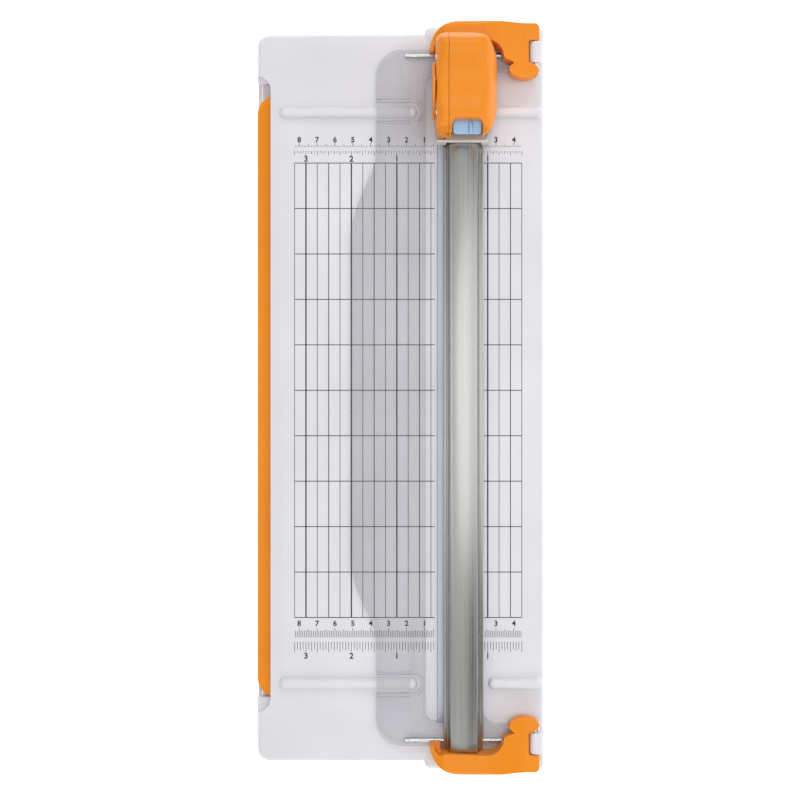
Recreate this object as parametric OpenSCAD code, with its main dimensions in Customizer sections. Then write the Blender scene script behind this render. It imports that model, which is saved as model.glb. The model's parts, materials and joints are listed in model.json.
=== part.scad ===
// Rotary paper trimmer: ruled base, swing-out ruler arm, hinged cutting rail with a clear paper
// guide, and a sliding two-shell carriage that carries a sprung, removable round blade.
// Frame: origin at the middle of the footprint on the table, +Y along the cut, +Z up.

/* [Base] */
// Width of the base across the cut
base_w = 160.8; // [150:0.2:172]
// Length of the base's main deck along the cut
base_l = 408.4; // [400:0.2:416]
// How far the rail side of the base runs past the main deck at each end
end_bulge = 4.4; // [2:0.2:6]
// Height of the ruled deck above the table
deck_z = 15; // [14:0.1:16]
// Wall thickness of the base shell
base_wall = 2.4; // [2:0.1:2.8]
// Height of the paper fences above the deck
fence_h = 3.5; // [2.5:0.1:3.6]

/* [Ruler arm] */
// Width of the swing-out ruler arm
arm_w = 22; // [20:0.5:23]
// Thickness of the ruler arm
arm_t = 6; // [5:0.1:6]

/* [Rail] */
// Width of the rail across its feet
rail_w = 21.8; // [21:0.1:22]
// Height of the rail section
rail_h = 11.2; // [10.5:0.1:11.6]
// Length of the rail
rail_l = 390.6; // [384:0.2:391]
// Thickness of the clear guide
guide_t = 2.2; // [1.8:0.1:2.4]

/* [Carriage] */
// Where the carriage is parked along the cut
park_y = 168; // [160:0.5:168]
// Length of the carriage along the cut
carriage_l = 52; // [50:0.5:52]
// Height of the carriage's top above the table
carriage_top = 53.5; // [52:0.5:56]
// Radius of the round blade
blade_r = 14; // [13.5:0.1:14]
// How far the handle presses down
press_travel = 2.5; // [2:0.1:2.6]

/* [Hidden] */
$fn = 64;

// Colours
white_c = "whitesmoke";
orange_c = "darkorange";
steel_c = "silver";
dark_c = "dimgray";

// Levels
foot_h = 1.5;
cover_t = 1.9;
cover_top = foot_h + 2;
deck_under = deck_z - base_wall;
guide_z = deck_z + 0.6;
guide_top = guide_z + guide_t;
rail_z = guide_top;
rail_top = rail_z + rail_h;

// Base outline
half_w = base_w / 2;
half_l = base_l / 2;
bulge_x = 13;
edge_run = 8;
edge_drop = 6;
side_run = 2.5;
layers = 6;

// Swing arm and its channel
arm_gap = 0.5;
arm_x = -half_w + arm_w / 2;
arm_pivot_y = -157;
arm_tip_y = 170;
arm_z = foot_h + 2.5;
arm_roof = arm_z + arm_t + 0.4;
arm_show_x = -72.7;
arm_open_top = 172;
arm_open_bottom = -168;
channel_wall = 2;
pivot_r = 3;
fit = 0.05;

// Fences
fence_y = 159.4;
fence_w = 7.2;
fence_left = [-67.7, 9.4];
fence_right = [48.9, 79.3];

// Cutting strip
strip_x0 = 20.6;
strip_x1 = 26;
strip_l = 362.4;
strip_gap = 0.25;
strip_bed = deck_z - 1.5;

// Hinge of the rail frame
hinge_x = 75;
hinge_z = 20.5;
hinge_r = 2;
knuckle_r = 3.6;
knuckle_y0 = 185.8;
knuckle_y1 = 197.4;
ear_y0 = 177.4;
ear_y1 = 206.6;

// Rail
rail_x = 34.9;
rail_wall = 1.4;
crown = 0.7;
crown_half = 7;
boss_dx = 4.6;
boss_dz = 4.2;
screw_r = 1.3;

// Clear guide
guide_l = 388;
guide_x0 = -13.75;
guide_x1 = 46;
guide_belly = 14.25;
belly_y0 = 133;
belly_y1 = 88;
lobe_r = 15;
lobe_x1 = 64;
lobe_fillet = 8;
lobe_y = 181.5;
flange = 2.6;
window_x0 = 13.9;
window_x1 = 23.9;
window_y0 = -180;
window_y1 = 179;
bump_y = 159.4;
bump_w = 13.6;
bump_x1 = 13;
bump_top = deck_z + fence_h + 2.1;
rod_r = 1.2;
rod_y = 191;
rod_x0 = 2.4;
rod_x1 = 58;
rod_z = guide_z + 0.9;

// Brackets
bracket_x0 = 16.4;
bracket_x1 = 76.8;
bracket_y0 = 195.4;
bracket_y1 = 207.3;
bracket_z = deck_z + 1.2;
bracket_top = 33;
sweep_x = 36;
sweep_y = 190.6;
sweep_rx = 20;
sweep_ry = 16.7;
lobe_cx = 47.5;
lobe_cy = 187;
lobe_cr = 9.3;
tab_x = 68.2;
tab_y = 181.2;
tab_rx = 8.6;
tab_ry = 4.6;

// Slider and carriage
skirt_x0 = 15.2;
skirt_x1 = 13.2;
skirt_h = 14.6;
skirt_t = 1.2;
skirt_y = 140.3;
leg_in = 9.6;
leg_out = 10.6;
slider_l = 46;
plate_t = 2;
plate_z = rail_top + 0.3;
post_places = [-9.5, 14];
post_r = 3;
post_top = 43;
sleeve_z = 38.5;
sleeve_r = 5.2;
spring_r = 3.9;
spring_wire = 0.45;
spring_turns = 5;
handle_x0 = 18.9;
handle_x1 = 52.8;
handle_z = deck_z + fence_h + press_travel + 0.4;
seam_x = 26;
overhang = 4.5;
overhang_z = bracket_top + press_travel + 0.8;
passage_half = 11.9;
passage_top = 35.5;
handle_y0 = park_y - carriage_l / 2;
handle_y1 = park_y + carriage_l / 2 + overhang;
saddle_dip = 6;
arch_x0 = 27.8;
arch_x1 = 44.4;
arch_r = 3;
tab_x0 = 28.4;
tab_w = 15.4;
tab_t = 2;
shell_wall = 2.2;
lock_z = 41;
lock_travel = 3.5;

// Blade cartridge
blade_x = 23.3;
blade_t = 0.4;
blade_z = deck_z + 0.25 + press_travel + blade_r;
axle_r = 2;
cap_x = 17.4;
cap_r = 15.5;
cap_flat_z = 23.4;

// A flat rectangle between two corners with rounded corners of radius r
module round_rect(x0, y0, x1, y1, r) {
    translate([x0 + r, y0]) square([x1 - x0 - 2 * r, y1 - y0]);
    translate([x0, y0 + r]) square([x1 - x0, y1 - y0 - 2 * r]);
    for (x = [x0 + r, x1 - r], y = [y0 + r, y1 - r]) translate([x, y]) circle(r);
}

// Half section of an edge that falls away along a quarter ellipse, from the top down
function soft_edge(half, run) = concat([[0, deck_z]], [for (i = [0 : layers]) let (a = 90 * i / layers)
    [half - run * (1 - sin(a)), deck_z - edge_drop * (1 - cos(a))]], [[half, 0]]);

// A full section, mirrored from its half section
function mirrored(pts) = concat(pts, [for (i = [len(pts) - 1 : -1 : 1]) [-pts[i][0], pts[i][1]]]);

// A slab whose top edges fall away: softly at its ends, tighter along its sides
module soft_slab(x0, x1, half, r) {
    intersection() {
        translate([0, 0, foot_h]) linear_extrude(deck_z - foot_h) round_rect(x0, -half, x1, half, r);
        rotate([90, 0, 90]) linear_extrude(4 * half_w, center = true)
            polygon(mirrored(soft_edge(half, edge_run)));
        translate([(x0 + x1) / 2, 2 * half, 0]) rotate([90, 0, 0]) linear_extrude(4 * half)
            polygon(mirrored(soft_edge((x1 - x0) / 2, side_run)));
    }
}

// Half section of a fence: a rounded bar on the deck
fence_half = [[0, -1], [fence_w / 2, -1], [fence_w / 2, 0], [fence_w / 2 - 0.15, 0.9],
    [fence_w / 2 - 0.6, 2], [fence_w / 2 - 1.3, 2.9], [fence_w / 2 - 2.2, fence_h - 0.1], [0, fence_h]];

// One paper fence with round ends, from x0 to x1, on the +Y or -Y side
module fence(x0, x1, side) translate([0, side * fence_y, deck_z]) {
    translate([x0 + fence_w / 2, 0, 0]) rotate([90, 0, 90]) linear_extrude(x1 - x0 - fence_w)
        polygon(mirrored(fence_half));
    for (x = [x0 + fence_w / 2, x1 - fence_w / 2]) translate([x, 0, 0]) rotate_extrude()
        polygon(fence_half);
}

// Places of the cover screws and of the feet
screw_places = [for (x = [-48, 70], y = [-190, 0, 190]) [x, y]];
foot_places = [for (x = [-66, 66], y = [-192, -64, 64, 192]) if (abs(y) > 100 || x > 0) [x, y]];

// Base shell: open underneath, with the arm's channel, fences, strip bed and hinge knuckles
module base_shell() color(white_c) difference() {
    union() {
        difference() {
            union() {
                soft_slab(-half_w, half_w, half_l, 10);
                soft_slab(bulge_x, half_w, half_l + end_bulge, 6);
            }
            // hollow underside
            translate([0, 0, -1]) linear_extrude(deck_under + 1)
                round_rect(arm_x + arm_w / 2 + arm_gap + channel_wall, -half_l + 6,
                    half_w - 3, half_l - 6, 5);
            // seat of the bottom cover
            linear_extrude(cover_top)
                round_rect(-half_w + 2, -half_l + 3, half_w - 2, half_l - 3, 7);
            // channel of the ruler arm
            translate([-half_w - 10, arm_pivot_y - arm_w / 2 - arm_gap, cover_top - 0.5])
                cube([arm_w + arm_gap + 10, arm_tip_y - arm_pivot_y + arm_w / 2 + 7.5,
                    arm_roof - cover_top + 0.5]);
            // the deck is cut back so the arm's edge shows
            translate([0, 0, arm_roof - 1]) linear_extrude(deck_z) {
                translate([-half_w - 10, arm_open_bottom])
                    square([arm_show_x + half_w + 10, arm_open_top - arm_open_bottom]);
                translate([-half_w - 1, arm_open_top]) intersection() {
                    circle(arm_show_x + half_w + 1);
                    square(20);
                }
                translate([-half_w - 1, arm_open_bottom]) intersection() {
                    circle(arm_show_x + half_w + 1);
                    translate([0, -20]) square(20);
                }
            }
        }
        for (side = [-1, 1]) {
            fence(fence_left[0], fence_left[1], side);
            fence(fence_right[0], fence_right[1], side);
            // knuckle that holds the hinge pin
            translate([0, side * (knuckle_y0 + knuckle_y1) / 2, 0]) rotate([90, 0, 0])
                linear_extrude(knuckle_y1 - knuckle_y0, center = true) {
                    translate([hinge_x, hinge_z]) circle(knuckle_r);
                    translate([hinge_x - knuckle_r, deck_under])
                        square([2 * knuckle_r, hinge_z - deck_under]);
                }
        }
        // thick bed under the cutting strip
        translate([strip_x0 - 3, -half_l + 6, deck_z - 4]) cube([strip_x1 - strip_x0 + 6, base_l - 12, 3]);
        // screw posts
        for (p = screw_places) translate([p[0], p[1], cover_top])
            cylinder(r = 4, h = deck_under - cover_top + 1);
        // stiffening ribs of the deck
        for (y = [-130 : 65 : 130]) translate([-50, y - 0.9, deck_under - 5]) cube([115, 1.8, 6]);
    }
    // bed of the strip
    translate([strip_x0 - strip_gap, -strip_l / 2 - strip_gap, strip_bed])
        cube([strip_x1 - strip_x0 + 2 * strip_gap, strip_l + 2 * strip_gap, 5]);
    for (p = screw_places) translate([p[0], p[1], 0]) cylinder(r = screw_r, h = deck_under - 1);
    for (side = [-1, 1]) translate([hinge_x, side * 215, hinge_z]) rotate([side * 90, 0, 0])
        cylinder(r = hinge_r, h = 40);
    translate([arm_x, arm_pivot_y, 0]) cylinder(r = pivot_r, h = arm_roof + 2);
}

// Bottom cover, screwed up into the shell
module base_cover() color(white_c) difference() {
    translate([0, 0, foot_h]) linear_extrude(cover_t)
        round_rect(-half_w + 2.3, -half_l + 3.3, half_w - 2.3, half_l - 3.3, 6.7);
    for (p = screw_places) translate([p[0], p[1], 0]) {
        cylinder(r = screw_r + 0.3, h = 10);
        cylinder(r = 3.2, h = foot_h + 1.2);
    }
}

// Six pan-head screws that hold the cover
module cover_screws() color(steel_c) for (p = screw_places) translate([p[0], p[1], foot_h]) {
    difference() {
        translate([0, 0, 0.2]) cylinder(r = 2.9, h = 1);
        translate([0, 0, -1]) for (a = [0, 90]) rotate(a) translate([-1.6, -0.3, 0]) cube([3.2, 0.6, 1.6]);
    }
    translate([0, 0, 1.2]) cylinder(r = screw_r, h = 8);
}

// Round rubber feet
module rubber_feet() color("black") for (p = foot_places) translate([p[0], p[1], 0])
    cylinder(r = 6, h = foot_h);

// Plastic strip that the blade cuts against
module cutting_strip() color("lavender")
    translate([strip_x0, -strip_l / 2, strip_bed])
        cube([strip_x1 - strip_x0, strip_l, deck_z - strip_bed + 0.1]);

// Steel pins of the rail hinge
module hinge_pins() color(steel_c) for (side = [-1, 1])
    translate([hinge_x, side * ear_y1, hinge_z]) rotate([side * 90, 0, 0])
        cylinder(r = hinge_r, h = ear_y1 - ear_y0 - 2);

// Pin on which the ruler arm swings
module arm_pivot_pin() color(steel_c) translate([arm_x, arm_pivot_y, foot_h + cover_t])
    cylinder(r = pivot_r, h = arm_roof + 1.6 - foot_h - cover_t);

// Washer under the arm
module arm_washer() color(dark_c) translate([arm_x, arm_pivot_y, foot_h + cover_t]) difference() {
    cylinder(r = 8, h = 0.5);
    translate([0, 0, -1]) cylinder(r = pivot_r, h = 3);
}

// Swing-out ruler arm with a finger pull near its free end
module swing_arm() color(orange_c) translate([0, 0, arm_z]) difference() {
    linear_extrude(arm_t) difference() {
        union() {
            translate([arm_x - arm_w / 2, arm_pivot_y])
                square([arm_w, arm_tip_y - arm_w / 2 - arm_pivot_y]);
            for (y = [arm_pivot_y, arm_tip_y - arm_w / 2]) translate([arm_x, y]) circle(arm_w / 2);
        }
        translate([arm_x, arm_pivot_y]) circle(pivot_r + fit);
    }
    // shallow recessed scale on the part that swings out
    translate([arm_x + 1, arm_pivot_y + 20, arm_t - 0.4]) cube([arm_w / 2 - 3, 290, 1]);
}

// Crown of the rail's top face at a distance x from its middle
function crown_z(x) = rail_h - crown * pow(x / crown_half, 2);

// Half section of the rail, from its foot up to the middle of its crown
rail_steps = concat([[rail_w / 2, 0], [rail_w / 2, 1.3], [9.3, 1.3], [9, 4.5], [7.8, 4.5], [7.8, 6],
    [8.6, 6], [crown_half + 0.5, crown_z(crown_half) - 0.5], [crown_half + 0.3, crown_z(crown_half) + 0.1]],
    [for (i = [8 : -1 : 1]) [crown_half * i / 8, crown_z(crown_half * i / 8)]]);

// Aluminium rail, open underneath, with two screw channels
module rail() color(steel_c)
    translate([rail_x, rail_l / 2, rail_z]) rotate([90, 0, 0]) linear_extrude(rail_l) {
    difference() {
        polygon(concat(rail_steps, [[0, rail_h]],
            [for (i = [len(rail_steps) - 1 : -1 : 0]) [-rail_steps[i][0], rail_steps[i][1]]]));
        translate([-6.2, -1]) square([12.4, rail_h - crown - rail_wall + 1]);
    }
    for (side = [-1, 1]) difference() {
        translate([side * boss_dx - 1.8, boss_dz - 2.4]) square([3.6, 4.8]);
        translate([side * boss_dx, boss_dz]) circle(screw_r);
    }
}

// Left edge of the clear guide's belly at a distance y from the middle, set in by d
function belly_x(y, d) = guide_x0 + d
    - guide_belly * pow(sin(90 * (belly_y0 - y) / (belly_y0 - belly_y1)), 1.35);

// Outline of the clear guide, set in by d
module guide_outline(d) {
    half = guide_l / 2;
    upper = [for (i = [0 : 10]) let (y = belly_y0 + (belly_y1 - belly_y0) * i / 10) [belly_x(y, d), y]];
    lower = [for (i = [10 : -1 : 0]) [upper[i][0], -upper[i][1]]];
    polygon(concat([[guide_x1 - d, half - lobe_r], [guide_x0 + d, half - lobe_r]], upper, lower,
        [[guide_x0 + d, -half + lobe_r], [guide_x1 - d, -half + lobe_r]]));
    for (side = [-1, 1]) {
        translate([guide_x0 + lobe_r, side * (half - lobe_r)]) circle(lobe_r - d);
        translate([guide_x0 + lobe_r, side > 0 ? half - lobe_r - 1 : -half + d])
            square([guide_x1 - guide_x0 - lobe_r - d, lobe_r + 1 - d]);
        translate([guide_x1 - d - 1, side > 0 ? lobe_y + d : -half + d])
            square([lobe_x1 - guide_x1, half - lobe_y - 2 * d]);
        // round inner corner beside the lobe
        translate([guide_x1 - d - 0.01, side * (lobe_y + d)]) mirror([0, side > 0 ? 1 : 0]) difference() {
            translate([0, -0.01]) square(lobe_fillet);
            translate([lobe_fillet, lobe_fillet]) circle(lobe_fillet);
        }
    }
}

// Stadium along X from x0 to a round end at x1, centred on y
module stadium(x0, x1, y, w) {
    translate([x0, y - w / 2]) square([x1 - w / 2 - x0, w]);
    translate([x1 - w / 2, y]) circle(w / 2);
}

// Clear paper guide with the blade window, fence bumps and rod tunnels
module clear_guide() color([0.86, 0.86, 0.93, 0.45]) difference() {
    union() {
        translate([0, 0, guide_z]) linear_extrude(guide_t - 0.7) guide_outline(0);
        translate([0, 0, guide_z]) linear_extrude(guide_t) guide_outline(flange);
        for (side = [-1, 1]) {
            translate([0, 0, guide_z]) linear_extrude(bump_top - guide_z)
                stadium(guide_x0 + 0.6, bump_x1, side * bump_y, bump_w);
            translate([rod_x0 - 2, side * rod_y, rod_z]) rotate([0, 90, 0]) difference() {
                cylinder(r = rod_r + 0.8, h = lobe_x1 - rod_x0 - 6);
                translate([rod_z - guide_z, -5, -1]) cube([5, 10, 100]);
            }
        }
    }
    // blade window
    translate([0, 0, guide_z - 1]) linear_extrude(8)
        round_rect(window_x0, window_y0, window_x1, window_y1, 4.9);
    // room for the fence ends
    for (side = [-1, 1]) {
        translate([0, 0, guide_z - 1]) linear_extrude(deck_z + fence_h + 0.6 - guide_z + 1)
            stadium(guide_x0 - 30, bump_x1 - 1.6, side * bump_y, bump_w - 3.2);
        translate([rod_x0, side * rod_y, rod_z]) rotate([0, 90, 0]) cylinder(r = rod_r, h = 80);
    }
    // long shallow groove
    translate([5.4, -guide_l / 2 + flange, guide_top - 0.4]) cube([4.4, guide_l - 2 * flange, 5]);
    // the rail's feet stand on a flat seat
    translate([rail_x - rail_w / 2, -rail_l / 2, guide_top]) cube([rail_w, rail_l, 10]);
}

// Soft strip under the guide that grips the paper
module grip_strip() color(dark_c) translate([30, -185, guide_z - 0.4]) cube([6, 370, 0.4]);

// Steel rods that stiffen the ends of the guide
module guide_rods() color(steel_c) for (side = [-1, 1])
    translate([rod_x0, side * rod_y, rod_z]) rotate([0, 90, 0]) cylinder(r = rod_r, h = rod_x1 - rod_x0);

// Plan of a bracket: a wall that sweeps round from the left, a lobe and an oval thumb tab
module bracket_plan() {
    polygon(concat([[22, sweep_y], [sweep_x - sweep_rx, sweep_y]],
        [for (a = [0 : 7.5 : 90])
            [sweep_x - sweep_rx * pow(cos(a), 0.87), sweep_y + sweep_ry * pow(sin(a), 0.87)]],
        [[bracket_x1 - 1.5, bracket_y1], [bracket_x1, bracket_y1 - 1.5], [bracket_x1, knuckle_y1 + 0.6],
            [hinge_x - 1.8, knuckle_y1 + 0.6], [hinge_x - 1.8, ear_y0 + 4]],
        [for (a = [0 : 10 : 90]) [lobe_cx + lobe_cr * cos(a), lobe_cy + lobe_cr * sin(a)]],
        [[26, bracket_y0], [22, bracket_y0]]));
    polygon([for (a = [0 : 12 : 348]) [tab_x + tab_rx * cos(a), tab_y + tab_ry * sin(a)]]);
}

// Front profile of a bracket in X and Z
module bracket_profile() {
    polygon([[bracket_x0 - 1, bracket_z], [bracket_x0 - 1, 26], [bracket_x0 + 2.5, 30.6],
        [bracket_x0 + 7, bracket_top], [47, bracket_top], [54, 31.6], [62, 27.5], [68, 25.2],
        [bracket_x1 + 1, 24.6],
        [bracket_x1 + 1, bracket_z]]);
}

// End bracket that holds the rail's end and turns on the hinge pin
module bracket() difference() {
    intersection() {
        linear_extrude(60) bracket_plan();
        translate([0, 260, 0]) rotate([90, 0, 0]) linear_extrude(120) bracket_profile();
        // the outer wall's top edge falls away
        rotate([90, 0, 90]) linear_extrude(100) polygon([[150, 0], [bracket_y1, 0],
            [bracket_y1, bracket_top - 3], [bracket_y1 - 0.5, bracket_top - 1.5],
            [bracket_y1 - 1.6, bracket_top - 0.4], [bracket_y1 - 3, bracket_top],
            [bracket_y0 - 1, bracket_top], [sweep_y, bracket_top - 3], [150, bracket_top - 3]]);
    }
    // socket for the rail's end and the guide under it
    translate([rail_x, rail_l / 2 + 0.2, rail_z]) rotate([90, 0, 0]) linear_extrude(20) {
        translate([-rail_w / 2 - 0.2, -3]) square([rail_w + 0.4, 4.5]);
        translate([-9.6, -3]) square([19.2, 9.3]);
        polygon([[-8.9, 6], [-7.6, rail_h + 0.2], [7.6, rail_h + 0.2], [8.9, 6]]);
    }
    translate([-20, 170, guide_z - 5]) cube([lobe_x1 + 20.4, guide_l / 2 + 0.3 - 170, guide_t + 5.2]);
    translate([0, rod_y, rod_z]) rotate([0, 90, 0]) cylinder(r = rod_r + 1.1, h = lobe_x1 + 0.4);
    // pocket between the left end of the wall and the rail
    translate([0, 0, 22]) linear_extrude(20) polygon([[18.6, sweep_y - 1], [18.8, 193.4], [20.6, 196.4],
        [23.4, bracket_y0 + 0.6], [22.6, sweep_y - 1]]);
    // notch for the base's knuckle, and the pin's bore
    translate([hinge_x - 4, knuckle_y0 - 0.4, 0]) cube([20, knuckle_y1 - knuckle_y0 + 0.8, 60]);
    translate([hinge_x, 215, hinge_z]) rotate([90, 0, 0]) cylinder(r = hinge_r + fit, h = 45);
    // screws through the end wall
    for (side = [-1, 1])
        translate([rail_x + side * boss_dx, 215, rail_z + boss_dz]) rotate([90, 0, 0]) {
        cylinder(r = screw_r + 0.2, h = 25);
        cylinder(r = 2.5, h = 215 - bracket_y1 + 2);
    }
}
module top_bracket() color(orange_c) bracket();
module bottom_bracket() color(orange_c) mirror([0, 1, 0]) bracket();

// Screws that hold the brackets to the rail
module bracket_screws() color(steel_c) for (end = [0, 1], side = [-1, 1]) mirror([0, end, 0])
    translate([rail_x + side * boss_dx, bracket_y1 - 0.6, rail_z + boss_dz]) rotate([90, 0, 0]) {
        difference() {
            cylinder(r = 2.3, h = 1.3);
            for (a = [0, 90]) rotate(a) translate([-1.4, -0.25, -1]) cube([2.8, 0.5, 1.6]);
        }
        cylinder(r = screw_r, h = 20);
    }

// Section of the slider: a saddle over the rail with teeth in its side grooves
module slider_section() {
    for (side = [0, 1]) mirror([side, 0]) polygon([[0, rail_h + 0.3], [7.8, rail_h + 0.3],
        [9, 6.8], [leg_in, 6.4], [leg_in - 1.4, 5.8], [leg_in - 1.4, 4.8], [leg_in, 4.6], [leg_in, 1.8],
        [leg_out, 1.8],
        [leg_out, rail_h + plate_t - 0.7], [leg_out - 1, rail_h + plate_t + 0.3],
        [0, rail_h + plate_t + 0.3]]);
}

// Slider that rides on the rail and guides the handle up and down
module slider_base() color([0.74, 0.67, 0.62]) {
    difference() {
        translate([rail_x, park_y + slider_l / 2, rail_z]) rotate([90, 0, 0])
            linear_extrude(slider_l) slider_section();
        for (y = [-18, 18], x = [-4, 4]) translate([rail_x + x, park_y + y, plate_z - 1])
            cylinder(r = 2, h = 2);
    }
    for (dy = post_places) translate([rail_x, park_y + dy, plate_z + plate_t - 0.5])
        cylinder(r = post_r, h = post_top - plate_z - plate_t + 0.5);
    translate([rail_x - leg_out, skirt_y + skirt_t, plate_z])
        cube([2 * leg_out, park_y - slider_l / 2 - skirt_y, plate_t + 1]);
}

// Section of the cream end skirt: a wide plate with room for the rail
module skirt_section() {
    difference() {
        union() {
            translate([-skirt_x0, 3.6]) square([skirt_x0 + skirt_x1, skirt_h - 5.6]);
            translate([-skirt_x0 + 2, 3.6]) square([skirt_x0 + skirt_x1 - 4, skirt_h - 3.6]);
            for (x = [-skirt_x0 + 2, skirt_x1 - 2]) translate([x, skirt_h - 2]) circle(2);
        }
        translate([-leg_in, -1]) square([2 * leg_in, rail_h + 1.3]);
    }
}

// Cream skirts at both ends of the slider, which wipe the rail
module rail_wipers() color([0.88, 0.87, 0.83]) {
    translate([rail_x, skirt_y + skirt_t, rail_z]) rotate([90, 0, 0]) linear_extrude(skirt_t)
        skirt_section();
    translate([rail_x, park_y + slider_l / 2 + skirt_t, rail_z]) rotate([90, 0, 0]) linear_extrude(skirt_t)
        intersection() {
            skirt_section();
            translate([-11, 0]) square([22, 30]);
        }
}

// Low-friction pads between the slider and the rail
module glide_pads() color("white") for (y = [-18, 18], x = [-4, 4])
    translate([rail_x + x, park_y + y, rail_top + 0.1]) cylinder(r = 2, h = plate_z + 1 - rail_top - 0.1);

// Ring i of a helix swept by a round wire
function helix_ring(i, steps, turns, r, wire, h) =
    let (a = 360 * turns * i / steps, z = wire + (h - 2 * wire) * i / steps)
    [for (k = [0 : 7]) let (b = 45 * k, out = r + wire * cos(b))
        [out * cos(a), out * sin(a), z + wire * sin(b)]];

// Compression spring from z = 0 to h
module spring(r, wire, h, turns) {
    steps = turns * 20;
    points = [for (i = [0 : steps], p = helix_ring(i, steps, turns, r, wire, h)) p];
    sides = [for (i = [0 : steps - 1], k = [0 : 7]) let (n = (k + 1) % 8)
        [8 * i + k, 8 * i + n, 8 * (i + 1) + n, 8 * (i + 1) + k]];
    first = [for (k = [7 : -1 : 0]) k];
    last = [for (k = [0 : 7]) 8 * steps + k];
    polyhedron(points, concat(sides, [first, last]));
}

// Springs that lift the handle
module press_springs() color(steel_c) for (dy = post_places)
    translate([rail_x, park_y + dy, plate_z + plate_t + 0.05])
        spring(spring_r, spring_wire, sleeve_z - plate_z - plate_t - 0.15, spring_turns);

// Handle seen from above, set in by d
module handle_plan(d) {
    difference() {
        polygon(concat(
            [for (a = [0 : 9 : 90]) [36 + (handle_x1 - 36 - d) * pow(cos(a), 0.77),
                176 + (handle_y1 - 176 - d) * pow(sin(a), 0.77)]],
            [for (a = [90 : 15 : 180])
                [handle_x0 + 6.6 + (6.6 - d) * cos(a), handle_y1 - 6.6 + (6.6 - d) * sin(a)]],
            [[handle_x0 + d, handle_y0 + 7], [handle_x0 + 0.7 + d, handle_y0 + 2.5 + d],
                [handle_x0 + 4 + d, handle_y0 + d]],
            [for (a = [90 : -9 : 0]) [40 + (handle_x1 - 40 - d) * pow(cos(a), 0.77),
                165 - (165 - handle_y0 - d) * pow(sin(a), 0.77)]]));
        // arch that shows the lock tab
        if (d == 0) {
            translate([arch_x0, handle_y0 - 1]) square([arch_x1 - arch_x0, 6.2]);
            for (x = [arch_x0 + arch_r, arch_x1 - arch_r]) translate([x, handle_y0 + 5.2]) circle(arch_r);
            translate([arch_x0 + arch_r, handle_y0 + 5])
                square([arch_x1 - arch_x0 - 2 * arch_r, arch_r + 0.2]);
        }
    }
}

// Height of the handle's saddle at a share t of its length from the front
function saddle_z(t) = carriage_top + 2 - saddle_dip * (1 - cos(360 * t)) / 2 - 1.6 * (1 - t)
    - 8 * pow(1 - t, 14) - 9 * pow(t, 14);

// Handle seen from the side in Y and Z: a saddle that overhangs the rail's bracket, set in by d
module handle_side(d) {
    polygon(concat([[handle_y0 + d, 0], [handle_y0 + d, 38 - d]],
        [for (t = [0 : 0.05 : 1])
            [handle_y0 + 1.5 + d + (handle_y1 - handle_y0 - 3.5 - 2 * d) * t, saddle_z(t) - d]],
        [[handle_y1 - d, 42 - d], [handle_y1 - 0.8 - d, 38.6], [handle_y1 - overhang - d, overhang_z],
            [handle_y1 - overhang - d, 0]]));
}

// Handle seen from the front in X and Z: rounded left shoulder, long fall to the right, set in by d
module handle_front(d) {
    polygon(concat([[handle_x0 + d, 0]],
        [for (a = [180 : -10 : 90]) [handle_x0 + d + 8 + 8 * cos(a), carriage_top - d - 9 + 9 * sin(a)]],
        [for (a = [90 : -6 : 0]) [handle_x1 - d - 17 + 17 * cos(a), carriage_top - d - 20 + 20 * sin(a)]],
        [[handle_x1 - d, 0]]));
}

// Solid form of the handle, set in by d
module handle_form(d) intersection() {
    translate([0, 0, handle_z]) linear_extrude(60) handle_plan(d);
    rotate([90, 0, 90]) linear_extrude(80) handle_side(d);
    translate([0, park_y + 50, 0]) rotate([90, 0, 0]) linear_extrude(100) handle_front(d);
}

// Whole handle, before it is parted along the seam
module handle() difference() {
    union() {
        difference() {
            handle_form(0);
            difference() {
                translate([0, 0, -3]) handle_form(shell_wall);
                // floor under the lock tab
                translate([handle_x0, 0, 0]) cube([50, park_y - carriage_l / 2 + 9, 80]);
            }
            // passage for the slider and the rail
            translate([rail_x - passage_half + 0.6, park_y - carriage_l, 0])
                cube([2 * passage_half, 2 * carriage_l, passage_top]);
            // the left wall stops short of the bracket's sweep
            translate([handle_x0 - 1, sweep_y - 0.9, 0]) cube([10, 30, overhang_z]);
        }
        // sleeves for the slider's posts
        intersection() {
            handle_form(0);
            for (dy = post_places) translate([rail_x, park_y + dy, sleeve_z])
                cylinder(r = sleeve_r, h = 20);
        }
        // bosses for the handle screws
        for (p = handle_screw_places) translate([handle_x0 + 1, p[0], p[1]]) rotate([0, 90, 0])
            cylinder(r = 3.2, h = 10.2);
    }
    for (dy = post_places) translate([rail_x, park_y + dy, 0])
        cylinder(r = post_r + fit, h = post_top + 3);
    // mouth for the blade cartridge, and the blade's slot
    translate([0, park_y, blade_z]) rotate([0, 90, 0]) cylinder(r = blade_r + 0.6, h = blade_x + 0.8);
    // slot of the lock tab
    translate([tab_x0 - lock_travel - 0.3, handle_y0 + 0.6, lock_z - 0.3])
        cube([tab_w + lock_travel + 0.6, 9.8, tab_t + 0.7]);
    translate([arch_x0, handle_y0 - 1, lock_z - 0.3]) cube([arch_x1 - arch_x0, 6, 30]);
    // screw holes
    for (p = handle_screw_places) translate([handle_x0 - 1, p[0], p[1]]) rotate([0, 90, 0]) {
        cylinder(r = 1.2, h = 11);
        cylinder(r = 2.3, h = 2.4);
    }
}

// Places of the handle screws in Y and Z
handle_screw_places = [[park_y - 14, 44.5], [park_y + 16, 44.5]];

// Left half of the handle, on the blade side
module handle_shell_left() color(orange_c) intersection() {
    handle();
    cube([seam_x, 300, 100]);
}

// Right half of the handle
module handle_shell_right() color(orange_c) intersection() {
    handle();
    translate([seam_x, 0, 0]) cube([60, 300, 100]);
}

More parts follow.
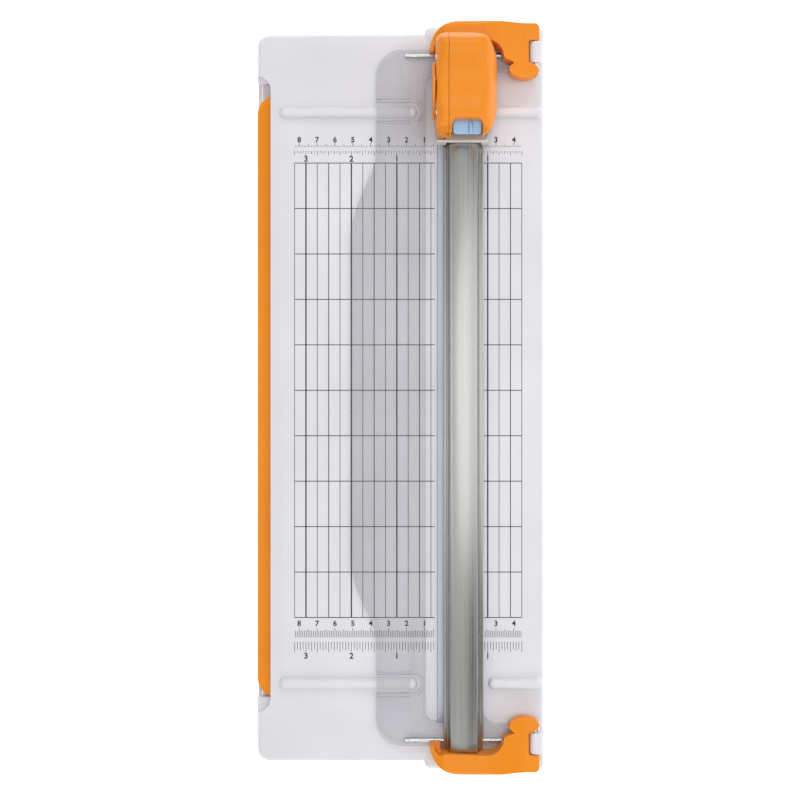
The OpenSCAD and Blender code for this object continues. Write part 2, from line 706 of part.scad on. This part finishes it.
// Screws that join the two halves
module handle_screws() color(steel_c) for (p = handle_screw_places)
    translate([handle_x0 + 0.2, p[0], p[1]]) rotate([0, 90, 0]) {
        difference() {
            cylinder(r = 2.2, h = 1.1);
            for (a = [0, 90]) rotate(a) translate([-1.3, -0.25, -1]) cube([2.6, 0.5, 1.5]);
        }
        cylinder(r = 1.2, h = 9.2);
    }

// Sliding lock tab with a thumb ridge
module lock_tab() color([0.63, 0.77, 0.9]) {
    translate([0, 0, lock_z]) linear_extrude(tab_t)
        round_rect(tab_x0, handle_y0 + 0.9, tab_x0 + tab_w, handle_y0 + 9.8, 2);
    translate([tab_x0 + 8.2, handle_y0 + 6.9, lock_z + tab_t - 0.5]) rotate([90, 0, 0]) linear_extrude(5.8)
        polygon([[0, 0], [2.6, 0], [1.9, 1.9], [0.7, 1.9]]);
}

// Round cap on the blade side, cut flat below so it clears the guide
module blade_cap() color(orange_c) difference() {
    union() {
        intersection() {
            translate([cap_x, park_y, blade_z]) rotate([0, 90, 0])
                cylinder(r = cap_r, h = handle_x0 - cap_x - 0.1);
            translate([0, 0, cap_flat_z]) cube([60, 300, 60]);
        }
        translate([cap_x, park_y, blade_z]) rotate([0, 90, 0])
            cylinder(r = 6, h = blade_x - cap_x - 0.7);
    }
    translate([cap_x + 1, park_y, blade_z]) rotate([0, 90, 0]) cylinder(r = axle_r, h = 20);
}

// Axle with its retaining flange
module blade_axle() color(steel_c) translate([cap_x + 1, park_y, blade_z]) rotate([0, 90, 0]) {
    cylinder(r = axle_r, h = blade_x + 0.8 - cap_x - 1);
    translate([0, 0, blade_x + 0.35 - cap_x - 1]) cylinder(r = 3.2, h = 0.45);
}

// Washer between the cap's hub and the blade
module blade_washer() color(dark_c)
    translate([blade_x - 0.7, park_y, blade_z]) rotate([0, 90, 0]) difference() {
        cylinder(r = 5, h = 0.4);
        translate([0, 0, -1]) cylinder(r = axle_r, h = 3);
    }

// Round blade with a ground edge
module rotary_blade() color(steel_c)
    translate([blade_x - blade_t / 2, park_y, blade_z]) rotate([0, 90, 0]) rotate_extrude()
        polygon([[axle_r + fit, 0], [blade_r - 1.5, 0], [blade_r, blade_t / 2], [blade_r - 1.5, blade_t],
            [axle_r + fit, blade_t]]);

base_shell();
base_cover();
cover_screws();
rubber_feet();
cutting_strip();
hinge_pins();
arm_pivot_pin();
arm_washer();
swing_arm();
rail();
clear_guide();
grip_strip();
top_bracket();
bottom_bracket();
guide_rods();
bracket_screws();
slider_base();
rail_wipers();
glide_pads();
press_springs();
handle_shell_left();
handle_shell_right();
handle_screws();
lock_tab();
blade_cap();
blade_axle();
blade_washer();
rotary_blade();
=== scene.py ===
"""Looks of the rotary paper trimmer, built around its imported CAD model. Metres, +Y along the cut."""

import json
import math

import bmesh
import bpy
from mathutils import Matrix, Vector
from mathutils.bvhtree import BVHTree


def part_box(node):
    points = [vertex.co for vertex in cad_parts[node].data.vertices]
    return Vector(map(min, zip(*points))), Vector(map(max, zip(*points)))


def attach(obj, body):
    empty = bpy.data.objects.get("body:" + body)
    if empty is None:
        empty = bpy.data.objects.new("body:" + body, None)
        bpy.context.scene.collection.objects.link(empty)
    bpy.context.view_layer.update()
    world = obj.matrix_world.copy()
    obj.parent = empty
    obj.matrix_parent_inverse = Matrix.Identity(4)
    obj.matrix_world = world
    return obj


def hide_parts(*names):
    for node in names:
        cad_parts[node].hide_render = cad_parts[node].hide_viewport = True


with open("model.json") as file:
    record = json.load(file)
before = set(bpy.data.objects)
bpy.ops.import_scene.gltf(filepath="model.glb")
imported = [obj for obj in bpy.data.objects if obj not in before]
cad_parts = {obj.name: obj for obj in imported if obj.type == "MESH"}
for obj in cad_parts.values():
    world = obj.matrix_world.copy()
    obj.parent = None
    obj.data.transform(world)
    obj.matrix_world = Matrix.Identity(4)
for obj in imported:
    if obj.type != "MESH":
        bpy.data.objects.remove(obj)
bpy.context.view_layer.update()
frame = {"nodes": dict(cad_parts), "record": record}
MM = 0.001


# ---------------------------------------------------------------- places taken from the frame
STRIP_PROUD = 0.1 * MM
deck_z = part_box("cutting_strip")[1][2] - STRIP_PROUD
blade_low, blade_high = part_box("rotary_blade")
zero_x = (blade_low[0] + blade_high[0]) / 2


# ---------------------------------------------------------------- materials
class Shader:
    """A Principled material with short helpers for its procedural inputs."""

    def __init__(self, name, **constants):
        self.material = bpy.data.materials.new(name)
        self.material.use_nodes = True
        self.tree = self.material.node_tree
        self.bsdf = self.tree.nodes["Principled BSDF"]
        for socket, value in constants.items():
            self.bsdf.inputs[socket.replace("_", " ")].default_value = value
        self.coords = self.tree.nodes.new("ShaderNodeTexCoord")
        self.height = None

    def link(self, source, target):
        self.tree.links.new(source, target)

    def stretched(self, scale):
        """Object coordinates scaled by (x, y, z)."""
        mapping = self.tree.nodes.new("ShaderNodeMapping")
        mapping.inputs["Scale"].default_value = scale
        self.link(self.coords.outputs["Object"], mapping.inputs["Vector"])
        return mapping.outputs["Vector"]

    def noise(self, size, detail=3.0, stretch=(1, 1, 1)):
        """Noise whose features are about size metres across."""
        node = self.tree.nodes.new("ShaderNodeTexNoise")
        node.inputs["Scale"].default_value = 1 / size
        node.inputs["Detail"].default_value = detail
        self.link(self.stretched(stretch), node.inputs["Vector"])
        return node.outputs["Fac"]

    def ramp(self, source, stops):
        """Colours along a value: stops are (place, colour)."""
        node = self.tree.nodes.new("ShaderNodeValToRGB")
        while len(node.color_ramp.elements) < len(stops):
            node.color_ramp.elements.new(0.5)
        for element, (place, colour) in zip(node.color_ramp.elements, stops):
            element.position = place
            element.color = (*colour, 1)
        self.link(source, node.inputs["Fac"])
        return node.outputs["Color"]

    def remap(self, source, low, high, out_low, out_high):
        """source from low..high to out_low..out_high, clamped."""
        node = self.tree.nodes.new("ShaderNodeMapRange")
        for name, value in (("From Min", low), ("From Max", high),
                            ("To Min", out_low), ("To Max", out_high)):
            node.inputs[name].default_value = value
        self.link(source, node.inputs["Value"])
        return node.outputs["Result"]

    def mix(self, factor, a, b, blend="MIX"):
        """Colour mix of sockets or constant colours."""
        node = self.tree.nodes.new("ShaderNodeMix")
        node.data_type = "RGBA"
        node.blend_type = blend
        for index, value in ((0, factor), (6, a), (7, b)):
            if isinstance(value, bpy.types.NodeSocket):
                self.link(value, node.inputs[index])
            else:
                node.inputs[index].default_value = value if index == 0 else (*value, 1)
        return node.outputs[2]

    def bump(self, source, strength, depth):
        """Adds one layer of relief, depth metres high."""
        node = self.tree.nodes.new("ShaderNodeBump")
        node.inputs["Strength"].default_value = strength
        node.inputs["Distance"].default_value = depth
        self.link(source, node.inputs["Height"])
        if self.height is not None:
            self.link(self.height, node.inputs["Normal"])
        self.height = node.outputs["Normal"]
        self.link(self.height, self.bsdf.inputs["Normal"])

    def edges(self):
        """0.5 on flats, more on outer edges and less in corners."""
        return self.tree.nodes.new("ShaderNodeNewGeometry").outputs["Pointiness"]

    def colour(self, source):
        self.link(source, self.bsdf.inputs["Base Color"])

    def roughness(self, source):
        self.link(source, self.bsdf.inputs["Roughness"])


def tint(colour, factor):
    return tuple(min(1.0, c * factor) for c in colour)


def moulded(name, colour, rough, grain=0.02, edge_highlight=0.0, **constants):
    """Moulded plastic: faint flow mottling, spark-eroded grain and outer edges painted lighter as a
    painted highlight.
    """
    s = Shader(name, **constants)
    mottling_and_edge_highlight = s.ramp(s.noise(40 * MM), [(0.3, tint(colour, 0.955)), (0.7, tint(colour, 1.02))])
    # Painted highlight: outer edges (high Pointiness) are mixed towards a lighter tint of the colour.
    if edge_highlight:
        edge_highlight_mask = s.remap(s.edges(), 0.51, 0.58, 0, edge_highlight)
        mottling_and_edge_highlight = s.mix(edge_highlight_mask, mottling_and_edge_highlight, tint(colour, 1.35))
    s.colour(mottling_and_edge_highlight)
    s.roughness(s.remap(s.noise(6 * MM), 0.3, 0.7, rough - 0.04, rough + 0.06))
    s.bump(s.noise(0.35 * MM, 2.0), grain, 0.1 * MM)
    s.bump(s.noise(25 * MM, 1.0), 0.12, 0.15 * MM)
    return s.material


def satin_metal(name, colour, rough, grain_stretch, aniso=0.0, scratch=0.08):
    """Metal with drawn grain: fine streaks run along the axis whose stretch is small."""
    s = Shader(name, Metallic=1.0, Anisotropic=aniso)
    streaks = s.noise(0.6 * MM, 4.0, grain_stretch)
    s.colour(s.ramp(streaks, [(0.25, tint(colour, 0.93)), (0.75, tint(colour, 1.05))]))
    s.roughness(s.remap(streaks, 0.3, 0.7, rough - 0.05, rough + 0.07))
    s.bump(streaks, scratch, 0.03 * MM)
    return s.material


def clear_plastic(name):
    """Clear moulding: thin tint on the flats, denser where the surface turns away."""
    s = Shader(name, Roughness=0.08, Coat_Weight=0.2, Coat_Roughness=0.04, IOR=1.49)
    facing = s.tree.nodes.new("ShaderNodeLayerWeight")
    facing.inputs["Blend"].default_value = 0.35
    s.link(s.remap(facing.outputs["Facing"], 0.0, 0.75, 0.03, 0.75), s.bsdf.inputs["Alpha"])
    s.colour(s.ramp(s.noise(30 * MM), [(0.3, (0.50, 0.50, 0.53)), (0.7, (0.55, 0.55, 0.58))]))
    s.bump(s.noise(12 * MM, 1.0), 0.08, 0.1 * MM)
    return s.material


def rubber(name, colour):
    s = Shader(name)
    s.colour(s.ramp(s.noise(4 * MM), [(0.3, tint(colour, 0.8)), (0.7, tint(colour, 1.3))]))
    s.roughness(s.remap(s.noise(2 * MM), 0.3, 0.7, 0.7, 0.9))
    s.bump(s.noise(0.3 * MM), 0.3, 0.05 * MM)
    return s.material


def ink(name, colour):
    """Screen-printed ink, a little uneven in cover."""
    s = Shader(name)
    s.colour(s.ramp(s.noise(0.5 * MM), [(0.3, tint(colour, 0.85)), (0.8, tint(colour, 1.25))]))
    s.roughness(s.remap(s.noise(3 * MM), 0.3, 0.7, 0.45, 0.6))
    return s.material


WHITE = (0.76, 0.755, 0.795)
ORANGE = (0.88, 0.265, 0.003)
BLUE = (0.36, 0.62, 0.95)
materials = {
    "white_plastic": moulded("white_plastic", WHITE, 0.42, grain=0.05),
    # The orange and blue plastics get their outer edges painted lighter, a painted highlight.
    "orange_plastic": moulded("orange_plastic", ORANGE, 0.36, grain=0.03, edge_highlight=0.35,
                              Specular_IOR_Level=0.35),
    "clear_plastic": clear_plastic("clear_plastic"),
    "rail_metal": satin_metal("rail_metal", (0.42, 0.425, 0.405), 0.26, (1, 0.006, 1), 0.3, 0.02),
    "steel": satin_metal("steel", (0.62, 0.62, 0.63), 0.24, (1, 1, 0.05)),
    "blade_steel": satin_metal("blade_steel", (0.70, 0.71, 0.73), 0.18, (1, 0.1, 1)),
    "rubber": rubber("rubber", (0.035, 0.035, 0.036)),
    "strip_plastic": moulded("strip_plastic", (0.60, 0.63, 0.74), 0.35, grain=0.04),
    "blue_plastic": moulded("blue_plastic", BLUE, 0.3, grain=0.02, edge_highlight=0.2, Coat_Weight=0.2),
    "taupe_plastic": moulded("taupe_plastic", (0.46, 0.37, 0.31), 0.42),
    "cream_plastic": moulded("cream_plastic", (0.78, 0.74, 0.66), 0.4),
}
ink_black = ink("ink_black", (0.012, 0.012, 0.014))
ink_grey = ink("ink_grey", (0.05, 0.05, 0.055))
ink_pale = ink("ink_pale", (0.16, 0.16, 0.17))


# ---------------------------------------------------------------- pieces from the CAD nodes
UP, RIGHT, BACK = Vector((0, 0, 1)), Vector((1, 0, 0)), Vector((0, 1, 0))
BEVEL_FROM = 28
SHARP_FROM = 32
FORM_SHARP_FROM = 60
FORM_VOXEL = 0.4 * MM
RAY_LIFT = 0.1 * MM
RAY_STEP = 0.05 * MM
SEAM_WELD = 0.01 * MM
SEAM_HALF_GAP = 0.12 * MM
CROWN_Z = 40 * MM
ARCH_DEPTH = 10.5 * MM
HINGE_BORE = 2.2 * MM

slot_of = {row["node"]: row["material_slot"] for row in frame["record"]["subparts"]}
body_of = {n: b for b, members in frame["record"]["behaviour"]["bodies"].items() for n in members}


def add_piece(name, mesh, body, slot, material=None):
    """Links a mesh as a piece that rides on a body."""
    piece = bpy.data.objects.new(name, mesh)
    bpy.context.scene.collection.objects.link(piece)
    mesh.materials.clear()
    mesh.materials.append(material or materials[slot])
    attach(piece, body)
    return piece


def welded(node):
    """A clean copy of a node's mesh: joined vertices, flat faces made whole."""
    bm = bmesh.new()
    bm.from_mesh(frame["nodes"][node].data)
    bmesh.ops.remove_doubles(bm, verts=bm.verts, dist=0.001 * MM)
    bmesh.ops.dissolve_limit(bm, angle_limit=math.radians(0.4), verts=bm.verts, edges=bm.edges)
    mesh = bpy.data.meshes.new(node + "_mesh")
    bm.to_mesh(mesh)
    bm.free()
    if "custom_normal" in mesh.attributes:
        mesh.attributes.remove(mesh.attributes["custom_normal"])
    return mesh


def evaluated(obj):
    """The mesh of obj with its modifiers applied."""
    graph = bpy.context.evaluated_depsgraph_get()
    return bpy.data.meshes.new_from_object(obj.evaluated_get(graph))


def with_modifiers(mesh, modifiers):
    """mesh after a list of (type, settings)."""
    obj = bpy.data.objects.new("work", mesh)
    bpy.context.scene.collection.objects.link(obj)
    for kind, settings in modifiers:
        modifier = obj.modifiers.new(kind.lower(), kind)
        for key, value in settings.items():
            setattr(modifier, key, value)
    bpy.context.view_layer.update()
    result = evaluated(obj)
    bpy.data.objects.remove(obj)
    return result


def shade(mesh, degrees):
    mesh.shade_smooth()
    mesh.set_sharp_from_angle(angle=math.radians(degrees))


def skin(node, mesh):
    """Puts a finished mesh in the place of a CAD node."""
    piece = add_piece(node + "_skin", mesh, body_of[node], slot_of[node])
    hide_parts(node)


def bevelled(node, width):
    """Replaces a node with a copy whose sharp edges are rounded."""
    mesh = with_modifiers(welded(node), [
        ("BEVEL", {"width": width, "segments": 2, "limit_method": "ANGLE",
                   "angle_limit": math.radians(BEVEL_FROM), "use_clamp_overlap": True}),
    ])
    shade(mesh, SHARP_FROM)
    skin(node, mesh)


def moulded_form(node, voxel, rounds):
    """Replaces a node with a remeshed copy, its edges rounded as a mould leaves them."""
    mesh = with_modifiers(welded(node), [
        ("REMESH", {"mode": "VOXEL", "voxel_size": voxel}),
        ("SMOOTH", {"factor": 0.5, "iterations": rounds}),
    ])
    mesh.shade_smooth()
    skin(node, mesh)


def free_towards(tree, vert, directions):
    """True if nothing of the same form lies beyond vert in one of the directions."""
    start = vert.co + vert.normal * RAY_LIFT
    return any(tree.ray_cast(start + d * RAY_STEP, d)[0] is None for d in directions)


def soften(bm, verts, rounds):
    """Smooths some of a form's vertices a number of times."""
    for _ in range(rounds):
        bmesh.ops.smooth_vert(bm, verts=verts, factor=0.5,
                              use_axis_x=True, use_axis_y=True, use_axis_z=True)


def ream(bm, centre, radius):
    """Opens a bore along Y, so that its wall is nowhere nearer to the axis than radius."""
    for v in bm.verts:
        x, z = v.co.x - centre[0], v.co.z - centre[2]
        r = math.hypot(x, z)
        if 0.7 * radius < r < radius:
            v.co.x = centre[0] + x * radius / r
            v.co.z = centre[2] + z * radius / r


def mesh_from(bm, name):
    """Turns a bmesh into a mesh and frees it."""
    mesh = bpy.data.meshes.new(name)
    bm.to_mesh(mesh)
    bm.free()
    return mesh


def voxel_form(mesh):
    """A bmesh of the even voxel remesh of a mesh, with the tree that rays are cast at."""
    bm = bmesh.new()
    bm.from_mesh(with_modifiers(mesh, [("REMESH", {"mode": "VOXEL", "voxel_size": FORM_VOXEL})]))
    bm.normal_update()
    return bm, BVHTree.FromBMesh(bm)


def handle_whole(seam):
    """The two handle shells joined into one closed form."""
    bm = bmesh.new()
    for node in ("handle_shell_left", "handle_shell_right"):
        bm.from_mesh(welded(node))
    inner = [f for f in bm.faces if all(abs(v.co.x - seam) < SEAM_WELD for v in f.verts)]
    bmesh.ops.delete(bm, geom=inner, context="FACES")
    bmesh.ops.remove_doubles(bm, verts=bm.verts, dist=SEAM_WELD)
    return mesh_from(bm, "handle_form")


def handle_skins():
    """Both handle shells from one softened form, parted again along the seam."""
    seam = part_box("handle_shell_left")[1][0]
    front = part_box("handle_shell_left")[0][1]
    form, tree = voxel_form(handle_whole(seam))
    outer = [v for v in form.verts if free_towards(tree, v, (UP, RIGHT, -RIGHT))]
    crown = [v for v in outer if v.co.z > CROWN_Z and v.co.y > front + ARCH_DEPTH
             and free_towards(tree, v, (UP,))]
    soften(form, outer, 4)
    soften(form, crown, 70)
    whole = mesh_from(form, "handle_form")
    for node, side in (("handle_shell_left", 1), ("handle_shell_right", -1)):
        bm = bmesh.new()
        bm.from_mesh(whole)
        cut = bmesh.ops.bisect_plane(bm, geom=bm.verts[:] + bm.edges[:] + bm.faces[:],
                                     plane_co=(seam - side * SEAM_HALF_GAP, 0, 0),
                                     plane_no=(side, 0, 0), clear_outer=True)
        rim = [e for e in cut["geom_cut"] if isinstance(e, bmesh.types.BMEdge)]
        bmesh.ops.triangle_fill(bm, edges=rim, use_beauty=True)
        mesh = mesh_from(bm, node + "_mesh")
        shade(mesh, FORM_SHARP_FROM)
        skin(node, mesh)


def bracket_skin(node):
    """A bracket with rounded outer edges and a true bore for its hinge pin."""
    low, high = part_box("hinge_pins")
    bm, tree = voxel_form(welded(node))
    outer = [v for v in bm.verts if free_towards(tree, v, (UP, BACK, -BACK))]
    soften(bm, outer, 6)
    ream(bm, [(a + b) / 2 for a, b in zip(low, high)], HINGE_BORE)
    mesh = mesh_from(bm, node + "_mesh")
    shade(mesh, FORM_SHARP_FROM)
    skin(node, mesh)


for node, obj in frame["nodes"].items():
    obj.data.materials.clear()
    obj.data.materials.append(materials[slot_of[node]])

for node, width in (("base_shell", 0.5 * MM), ("clear_guide", 0.35 * MM), ("rail", 0.25 * MM),
                    ("swing_arm", 1.0 * MM), ("base_cover", 0.3 * MM), ("rubber_feet", 0.4 * MM),
                    ("cutting_strip", 0.15 * MM)):
    bevelled(node, width)
handle_skins()
for node in ("top_bracket", "bottom_bracket"):
    bracket_skin(node)
for node in ("lock_tab", "blade_cap", "slider_base", "rail_wipers"):
    moulded_form(node, 0.25 * MM, 2)


# ---------------------------------------------------------------- printed grid and scales
INCH = 25.4 * MM
INK_H = 0.03 * MM
GRID_TOP = 131.2 * MM
GRID_ROWS = 11
LEFT_INCHES = 3.25
RIGHT_INCHES = 1.75
PRINT_PARTS = ((zero_x - LEFT_INCHES * INCH, 19.0 * MM), (46.5 * MM, zero_x + RIGHT_INCHES * INCH))
LINE_WIDTHS = {"inch": 0.75 * MM, "half": 0.5 * MM, "quarter": 0.42 * MM}
ROW_HALF = 0.24 * MM
TICK_WIDTH = 0.28 * MM


def printed(name, boxes, material):
    """One piece of thin ink patches on the deck, each (x0, y0, x1, y1)."""
    bm = bmesh.new()
    for x0, y0, x1, y1 in boxes:
        corners = [bm.verts.new((x, y, h)) for h in (deck_z, deck_z + INK_H)
                   for x, y in ((x0, y0), (x1, y0), (x1, y1), (x0, y1))]
        low, high = corners[:4], corners[4:]
        bm.faces.new(low[::-1])
        bm.faces.new(high)
        for i in range(4):
            j = (i + 1) % 4
            bm.faces.new((low[i], low[j], high[j], high[i]))
    add_piece(name, mesh_from(bm, name), "base", "rubber", material)


def on_print(x):
    """True where the deck has print, clear of the rail."""
    return any(a - 0.1 * MM <= x <= b + 0.1 * MM for a, b in PRINT_PARTS)


def upright(x, y0, y1, width):
    """The patch of a line along Y."""
    return (x - width / 2, min(y0, y1), x + width / 2, max(y0, y1))


def grid():
    """Quarter-inch uprights in three weights, and inch rows."""
    bottom = GRID_TOP - (GRID_ROWS - 1) * INCH
    weights = {"inch": [], "half": [], "quarter": []}
    for k in range(-round(4 * LEFT_INCHES), round(4 * RIGHT_INCHES) + 1):
        x = zero_x + k * INCH / 4
        if on_print(x):
            kind = "inch" if k % 4 == 0 else "half" if k % 2 == 0 else "quarter"
            weights[kind].append(upright(x, bottom, GRID_TOP, LINE_WIDTHS[kind]))
    rows = [(a, GRID_TOP - r * INCH - ROW_HALF, b, GRID_TOP - r * INCH + ROW_HALF)
            for r in range(GRID_ROWS) for a, b in PRINT_PARTS]
    printed("grid_inch_lines", weights["inch"], ink_black)
    printed("grid_half_lines", weights["half"], ink_grey)
    printed("grid_quarter_lines", weights["quarter"], ink_pale)
    printed("grid_rows", rows, ink_grey)


def ticks(name, step, base_y, lengths):
    """A row of ticks from base_y: lengths maps a divisor of the tick's number to its (y0, y1) in mm."""
    marks = []
    reach = math.ceil(LEFT_INCHES * INCH / step)
    for k in range(-reach, reach + 1):
        x = zero_x + k * step
        if k and on_print(x):
            y0, y1 = next(lengths[d] for d in sorted(lengths, reverse=True) if k % d == 0)
            marks.append(upright(x, base_y + y0 * MM, base_y + y1 * MM, TICK_WIDTH))
    printed(name, marks, ink_black)


def digit_mesh(text, x, y, height):
    """A number as a thin mesh on the deck, centred on (x, y)."""
    curve = bpy.data.curves.new("digit", "FONT")
    curve.body = text
    curve.size = height / 0.7
    curve.align_x = "CENTER"
    curve.align_y = "CENTER"
    curve.extrude = INK_H / 2
    curve.resolution_u = 4
    curve.offset = 0.13 * MM
    obj = bpy.data.objects.new("digit", curve)
    bpy.context.scene.collection.objects.link(obj)
    obj.location = (x, y, deck_z + INK_H / 2)
    bpy.context.view_layer.update()
    mesh = evaluated(obj)
    mesh.transform(obj.matrix_world)
    bpy.data.objects.remove(obj)
    return mesh


def digits(name, places, height):
    """One piece of several numbers, each (text, x, y)."""
    bm = bmesh.new()
    for text, x, y in places:
        bm.from_mesh(digit_mesh(text, x, y, height))
    add_piece(name, mesh_from(bm, name), "base", "rubber", ink_black)


def numbers(step, y):
    """Numbers counted outward from the blade line wherever there is print."""
    return [(str(n), zero_x + side * n * step, y) for side in (-1, 1) for n in range(1, 9)
            if on_print(zero_x + side * n * step)]


def scales():
    """Centimetre and inch scales above and below the grid."""
    ticks("top_millimetres", MM, 140.2 * MM, {1: (0, 0.7), 5: (0, 1.5), 10: (0, 2.5)})
    ticks("top_sixteenths", INCH / 16, 135.2 * MM,
          {1: (1.7, 2.8), 2: (1.2, 2.8), 4: (0.4, 2.8), 16: (-0.4, 2.8)})
    ticks("bottom_millimetres", MM, -133.9 * MM, {1: (0, 3.7), 5: (0, 4.5), 10: (0, 5.3)})
    ticks("bottom_sixteenths", INCH / 16, -136.4 * MM, {1: (-4.2, 0), 2: (-4.9, 0), 4: (-5.7, 0)})
    digits("centimetre_numbers", numbers(10 * MM, 144.1 * MM) + numbers(10 * MM, -126.2 * MM), 2.9 * MM)
    digits("inch_numbers", numbers(INCH, 133.4 * MM) + numbers(INCH, -144.4 * MM), 3.2 * MM)


grid()
scales()


# ---------------------------------------------------------------- stage, camera and lights
CAMERA_H = 0.9
VIEW_W = 0.447177
SENSOR = 36
FLOOR = 40.0
CENTRE_X = -0.335 * MM
CENTRE_Y = -1.23 * MM


def floor_material(name, colour, glow):
    """Pale studio floor that glows a little, as a light table does."""
    s = Shader(name, Emission_Color=(*colour, 1), Emission_Strength=glow)
    s.colour(s.ramp(s.noise(0.5), [(0.3, tint(colour, 0.99)), (0.7, colour)]))
    s.roughness(s.remap(s.noise(0.1), 0.3, 0.7, 0.7, 0.8))
    return s.material


floor_mesh = bpy.data.meshes.new("floor")
floor_corners = [(x * FLOOR, y * FLOOR, 0) for x, y in ((-1, -1), (1, -1), (1, 1), (-1, 1))]
floor_mesh.from_pydata(floor_corners, [], [(0, 1, 2, 3)])
floor_mesh.materials.append(floor_material("floor", (0.93, 0.93, 0.94), 0.75))
floor = bpy.data.objects.new("floor", floor_mesh)
bpy.context.scene.collection.objects.link(floor)

camera_data = bpy.data.cameras.new("camera")
camera_data.sensor_width = SENSOR
camera_data.lens = SENSOR * CAMERA_H / VIEW_W
camera = bpy.data.objects.new("camera", camera_data)
camera.location = (CENTRE_X, CENTRE_Y, deck_z + CAMERA_H)
bpy.context.scene.collection.objects.link(camera)
bpy.context.scene.camera = camera


def softbox(name, place, target, size, power):
    """A rectangular studio light that faces target."""
    data = bpy.data.lights.new(name, "AREA")
    data.shape = "RECTANGLE"
    data.size, data.size_y = size
    data.energy = power
    light = bpy.data.objects.new(name, data)
    bpy.context.scene.collection.objects.link(light)
    light.location = place
    light.rotation_euler = (Vector(target) - Vector(place)).to_track_quat("-Z", "Y").to_euler()
    light.visible_camera = False


softbox("key", (0.9, 0.1, 1.4), (0, 0, 0), (1.2, 3.2), 15)
softbox("top", (-0.12, 0.0, 1.6), (-0.12, 0, 0), (1.0, 3.2), 5.5)
softbox("fill", (-1.1, -0.2, 1.2), (0, 0, 0), (1.0, 1.6), 3.5)
softbox("back", (0.1, 1.3, 0.9), (0, 0, 0), (1.6, 0.6), 9)
softbox("front", (0.0, -1.3, 0.8), (0, 0, 0), (1.6, 0.5), 7.5)

world = bpy.data.worlds.new("studio")
world.use_nodes = True
world.node_tree.nodes["Background"].inputs["Color"].default_value = (0.97, 0.975, 1.0, 1)
world.node_tree.nodes["Background"].inputs["Strength"].default_value = 0.2
bpy.context.scene.world = world
bpy.context.scene.view_settings.view_transform = "Standard"
